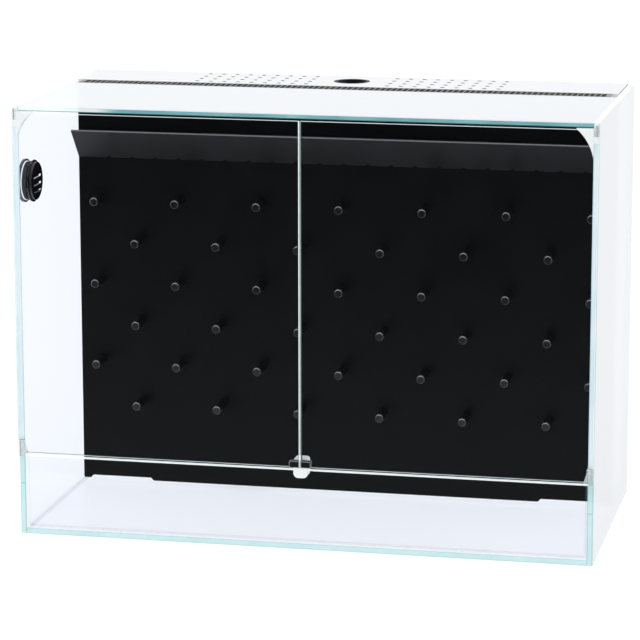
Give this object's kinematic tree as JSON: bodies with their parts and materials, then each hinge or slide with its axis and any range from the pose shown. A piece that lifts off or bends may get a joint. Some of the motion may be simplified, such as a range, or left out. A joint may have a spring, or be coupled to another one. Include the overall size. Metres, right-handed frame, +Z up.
{
  "type": "paludarium",
  "caption": "Frameless glass paludarium with two front doors, a black planting wall with pegs and a drip trough, and a covered pump chamber behind it.",
  "frame": {"origin": "middle of the footprint of the glass box, on the surface it stands on", "axes": "+X to the right seen from the doors, +Y from the doors to the back glass, +Z up"},
  "size_m": [0.6028, 0.3067, 0.45],
  "materials": {
    "glass": "clear float glass with faintly green edges",
    "silicone": "clear silicone bead",
    "wall_black": "matte black sheet",
    "flap_grey": "satin black sheet",
    "peg_black": "satin black rod",
    "mesh_black": "black mesh",
    "cover_white": "pale satin sheet",
    "black_rubber": "matte black rubber",
    "clear_plastic": "clear moulded plastic",
    "pin_steel": "drawn stainless steel",
    "strike_steel": "dark folded steel with bright edges",
    "catch_white": "milky translucent plastic",
    "magnet": "plated magnet block",
    "vent_black": "glossy black moulding",
    "clear_gasket": "clear silicone ring",
    "screen_steel": "fine steel mesh",
    "pump_black": "matte black moulding",
    "impeller_grey": "grey moulding",
    "shaft_steel": "ground stainless steel",
    "pipe_clear": "clear flexible pipe",
    "pipe_grey": "dark grey pipe"
  },
  "bodies": {
    "tank": {"back_glass": "glass", "bottom_glass": "glass", "catch_holder": "catch_white", "catch_magnet": "magnet", "floor_seam": "silicone", "front_corner_seams": "silicone", "left_lower_hinge_bracket": "clear_plastic", "left_lower_hinge_pin": "pin_steel", "left_side_glass": "glass", "left_upper_hinge_bracket": "clear_plastic", "left_upper_hinge_pin": "pin_steel", "lower_front_glass": "glass", "mesh_end_blocks": "glass", "mesh_frame": "mesh_black", "mesh_strip": "mesh_black", "peg_row_1": "peg_black", "peg_row_2": "peg_black", "peg_row_3": "peg_black", "peg_row_4": "peg_black", "peg_row_5": "peg_black", "peg_row_6": "peg_black", "planting_wall": "wall_black", "pump_body": "pump_black", "pump_intake_cover": "pump_black", "pump_shaft": "shaft_steel", "pump_suction_cups": "black_rubber", "rear_corner_seams": "silicone", "right_lower_hinge_bracket": "clear_plastic", "right_lower_hinge_pin": "pin_steel", "right_side_glass": "glass", "right_upper_hinge_bracket": "clear_plastic", "right_upper_hinge_pin": "pin_steel", "riser_pipe": "pipe_clear", "spray_bar": "pipe_grey", "spray_bar_caps": "pipe_grey", "spray_bar_clips": "pipe_grey", "top_front_glass": "glass", "top_seams": "silicone", "trough_flap": "flap_grey", "vent_cap": "vent_black", "vent_gasket": "clear_gasket", "vent_plug": "vent_black", "vent_screen": "screen_steel", "wall_seams": "silicone"},
    "left_door": {"left_door_glass": "glass", "left_lower_hinge_shoe": "clear_plastic", "left_strike_plate": "strike_steel", "left_upper_hinge_shoe": "clear_plastic"},
    "right_door": {"right_door_glass": "glass", "right_lower_hinge_shoe": "clear_plastic", "right_strike_plate": "strike_steel", "right_upper_hinge_shoe": "clear_plastic"},
    "cover": {"cable_grommet": "black_rubber", "rear_cover": "cover_white"},
    "impeller": {"pump_impeller": "impeller_grey"}
  },
  "joints": [
    {"name": "left_door_hinge", "type": "hinge", "parent": "tank", "child": "left_door", "pos_m": [-0.298, -0.1535, 0.266], "axis": [0, 0, -1], "range_deg": [0, 150]},
    {"name": "right_door_hinge", "type": "hinge", "parent": "tank", "child": "right_door", "pos_m": [0.298, -0.1535, 0.266], "axis": [0, 0, 1], "range_deg": [0, 150]},
    {"name": "cover_lift", "type": "slide", "parent": "tank", "child": "cover", "axis": [0, 0, 1], "range_m": [0, 0.06]},
    {"name": "impeller_spin", "type": "hinge", "parent": "tank", "child": "impeller", "pos_m": [-0.1, 0.089, 0.033], "axis": [1, 0, 0], "continuous": true}
  ]
}
